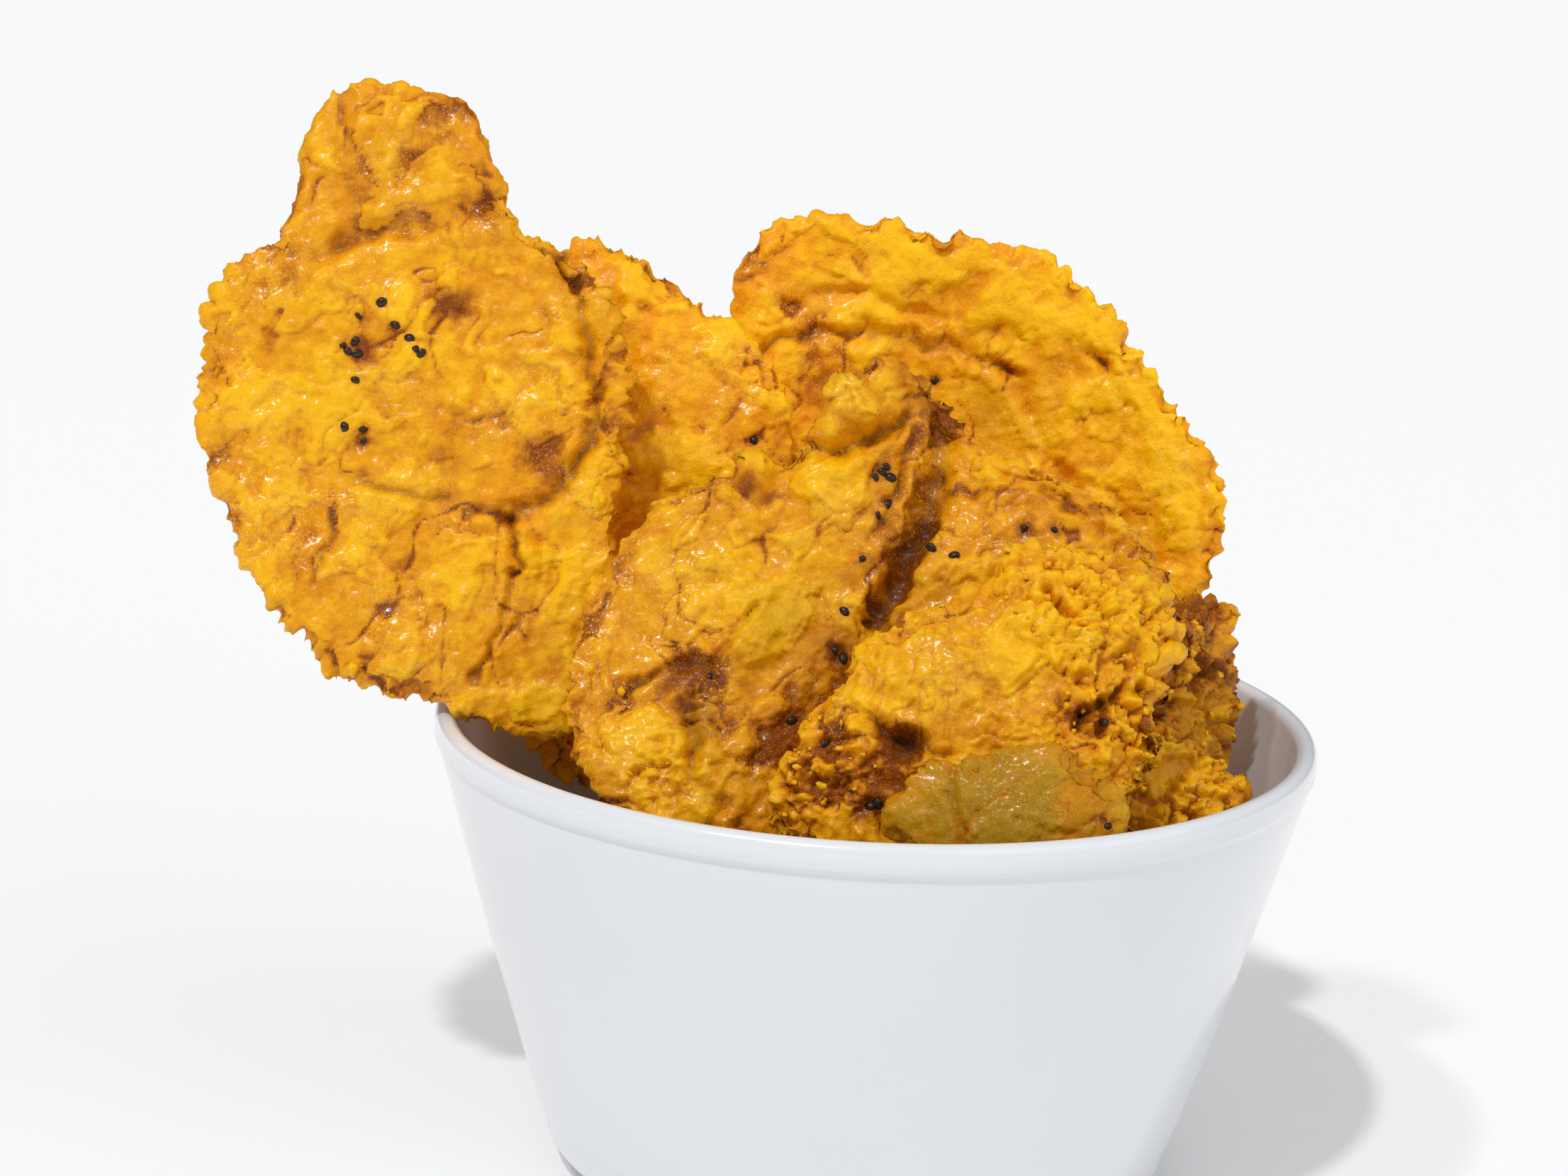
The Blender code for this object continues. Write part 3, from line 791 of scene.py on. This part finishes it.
def buildCrumbs(places, sizes, surface):
    shape = bmesh.new()
    cookAndPaintedLight = shape.verts.layers.float_color.new("cookAndPaintedLight")
    tintAndPaintedLight = shape.verts.layers.float_color.new("tintAndPaintedLight")
    for index in random.permutation(len(places))[:sizes["number"]]:
        place, normal = (Vector(item) for item in places[index])
        size = sizes["least"] + (sizes["most"] - sizes["least"]) * random.uniform() ** 2.5
        matrix = Matrix.Translation(place + normal * size * sizes["rise"] * mm) @ Matrix.Scale(size * mm, 4)
        lump = bmesh.ops.create_icosphere(shape, subdivisions=2, radius=1.0, matrix=matrix)
        toastAndPaintedShade = random.uniform(0, sizes["toastAndPaintedShade"])
        stretch = random.uniform(0.7, 1.3, 3)
        for point in lump["verts"]:
            away = point.co - place
            rough = random.uniform(0.65, 1.25)
            point.co = place + Vector(away[axis] * stretch[axis] * rough for axis in range(3))
            point[cookAndPaintedLight] = (toastAndPaintedShade, 0, sizes["freshAndPaintedLight"], 1)
            point[tintAndPaintedLight] = (0, sizes["wet"], sizes["toneAndPaintedLight"], 1)
    return linkPiece("plantain_crumbs", shape, surface)


def linkPiece(name, shape, surface):
    mesh = bpy.data.meshes.new(name)
    bmesh.ops.recalc_face_normals(shape, faces=shape.faces)
    shape.to_mesh(mesh)
    shape.free()
    mesh.shade_smooth()
    mesh.materials.append(surface)
    made = bpy.data.objects.new(name, mesh)
    bpy.context.scene.collection.objects.link(made)
    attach(made, "root")
    return made


plantain = plantainMaterial(plantainLook)
print("plantain material made")
buildBowl(bowlSizes, bowlMaterial(bowlLook))
print("bowl made")
discs = {}
crumbPlaces = []
for name, look in discLooks.items():
    discs[name], places, directions = fryDisc(name, look, plantain)
    crumbPlaces += list(zip(places[::crumbSizes["every"]], directions[::crumbSizes["every"]]))
    print(name, "fried:", len(discs[name].data.polygons), "faces")
buildSeeds(discs, seedSizes, seedMaterial(seedLook))
buildCrumbs(crumbPlaces, crumbSizes, plantain)
print("seeds and crumbs made")


# floor, light and camera; the floor's size is half its side in metres
floorLook = dict(size=6.0, color=(0.93, 0.93, 0.93), roughness=0.9, specular=0.1)


def buildFloor(look):
    surface, _, shader = newMaterial("pale floor")
    shader.inputs["Base Color"].default_value = (*look["color"], 1)
    shader.inputs["Roughness"].default_value = look["roughness"]
    shader.inputs["Specular IOR Level"].default_value = look["specular"]
    shape = bmesh.new()
    bmesh.ops.create_grid(shape, x_segments=1, y_segments=1, size=look["size"])
    mesh = bpy.data.meshes.new("floor")
    shape.to_mesh(mesh)
    shape.free()
    mesh.materials.append(surface)
    made = bpy.data.objects.new("floor", mesh)
    bpy.context.scene.collection.objects.link(made)


# direction, share of the floor's brightness, softness in degrees
lamps = {"front": ((-0.28, -0.60, 1.0), 0.29, 3.0),
         "left": ((-0.50, -0.45, 1.0), 0.12, 4.0),
         "right fill": ((0.90, -0.50, 0.7), 0.09, 60.0)}
roomLight = dict(strength=0.56, reflected=0.06, color=(0.97, 0.98, 1.0))


def sunLight(name, towards, floorShare, softness):
    direction = Vector(towards).normalized()
    lamp = bpy.data.lights.new(name, "SUN")
    lamp.energy = floorShare * math.pi / direction.z
    lamp.angle = math.radians(softness)
    made = bpy.data.objects.new(name, lamp)
    made.rotation_euler = direction.to_track_quat("Z", "Y").to_euler()
    bpy.context.scene.collection.objects.link(made)


# even light all round, dimmer where it is only mirrored, as in a dark room with lamps
def buildWorld(light):
    world = bpy.data.worlds.new("studio")
    world.use_nodes = True
    nodes, links = world.node_tree.nodes, world.node_tree.links
    path = nodes.new("ShaderNodeLightPath")
    level = nodes.new("ShaderNodeMapRange")
    level.inputs["To Min"].default_value = light["strength"]
    level.inputs["To Max"].default_value = light["reflected"]
    links.new(path.outputs["Is Glossy Ray"], level.inputs["Value"])
    links.new(level.outputs[0], nodes["Background"].inputs[1])
    nodes["Background"].inputs[0].default_value = (*light["color"], 1)
    bpy.context.scene.world = world


# metres, degrees, and millimetres of lens and sensor
view = dict(place=(0.0, -0.4878, 0.2001), yaw=-1.56, pitch=13.73, roll=2.54, lens=85.0, sensor=36.0)


def buildCamera(view):
    yaw, pitch, roll = (math.radians(view[key]) for key in ("yaw", "pitch", "roll"))
    ahead = Vector((math.sin(yaw) * math.cos(pitch), math.cos(yaw) * math.cos(pitch), -math.sin(pitch)))
    level = Vector((math.cos(yaw), -math.sin(yaw), 0))
    upright = level.cross(ahead)
    right = math.cos(roll) * level + math.sin(roll) * upright
    up = -math.sin(roll) * level + math.cos(roll) * upright
    camera = bpy.data.objects.new("camera", bpy.data.cameras.new("camera"))
    camera.data.lens = view["lens"]
    camera.data.sensor_width = view["sensor"]
    camera.data.clip_start = 0.01
    camera.matrix_world = Matrix((right, up, -ahead)).transposed().to_4x4()
    camera.location = view["place"]
    bpy.context.scene.collection.objects.link(camera)
    bpy.context.scene.camera = camera


buildFloor(floorLook)
for name, (towards, floorShare, softness) in lamps.items():
    sunLight(name, towards, floorShare, softness)
buildWorld(roomLight)
buildCamera(view)
bpy.context.scene.view_settings.view_transform = "Standard"
print("stage, lights and camera made")
